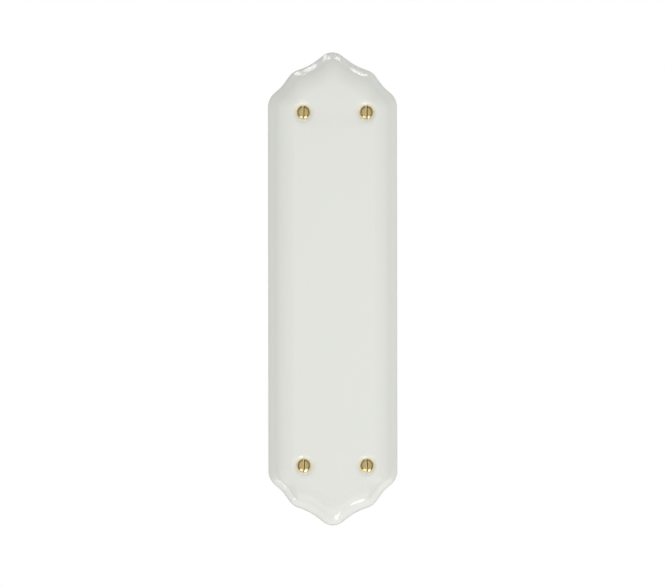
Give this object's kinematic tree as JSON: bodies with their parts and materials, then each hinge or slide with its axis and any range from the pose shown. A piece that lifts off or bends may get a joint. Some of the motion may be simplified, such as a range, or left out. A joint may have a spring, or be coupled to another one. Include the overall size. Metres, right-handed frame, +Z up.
{
  "type": "door finger plate",
  "caption": "Long glazed porcelain finger plate with scalloped pointed ends and a bevelled border, screwed to a door with countersunk brass screws to keep hands off the paint.",
  "frame": {"origin": "middle of the plate's back, on the plane that lies against the door", "axes": "+Z up the plate's length, +Y out of the back into the door, the glazed face looks to -Y, +X to the right as seen from the front"},
  "size_m": [0.0762, 0.0269, 0.2794],
  "materials": {
    "glazed_porcelain": "glossy clear glaze over white porcelain",
    "polished_brass": "polished"
  },
  "bodies": {
    "root": {"finger_plate": "glazed_porcelain", "fixing_screws": "polished_brass"}
  },
  "joints": []
}
